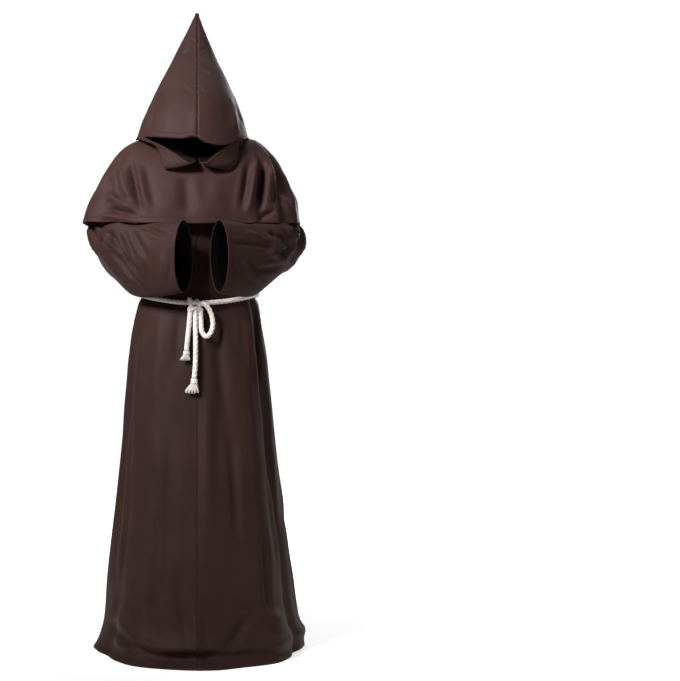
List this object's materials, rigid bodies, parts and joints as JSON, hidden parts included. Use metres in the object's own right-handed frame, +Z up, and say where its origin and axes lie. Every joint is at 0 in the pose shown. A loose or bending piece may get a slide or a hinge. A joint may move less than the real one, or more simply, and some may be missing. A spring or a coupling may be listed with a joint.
{
  "type": "franciscan monk habit",
  "caption": "Full-length brown habit worn open and hollow, with a pointed hood, a shoulder cape, bell sleeves bent to the front and a knotted white rope belt.",
  "frame": {"origin": "midway between the shoulders at the base of the neck, where the wearer's shoulders carry the garment", "axes": "+Z up, the front of the garment faces -Y, +X is the viewer's right when looking at the front"},
  "size_m": [0.6455, 0.6642, 1.834],
  "materials": {
    "brown_cloth": "smooth dark brown woven cloth with a soft sheen",
    "white_rope": "matte off-white twisted cotton rope"
  },
  "bodies": {
    "root": {"robe_front_left": "brown_cloth", "robe_front_right": "brown_cloth", "robe_back": "brown_cloth", "sleeve_left": "brown_cloth", "sleeve_right": "brown_cloth", "cape": "brown_cloth", "hood_left": "brown_cloth", "hood_right": "brown_cloth", "rope_belt": "white_rope", "rope_knot": "white_rope", "rope_loop": "white_rope", "rope_tail_short": "white_rope", "rope_tail_long": "white_rope", "tuft_short": "white_rope", "tuft_long": "white_rope"}
  },
  "joints": []
}
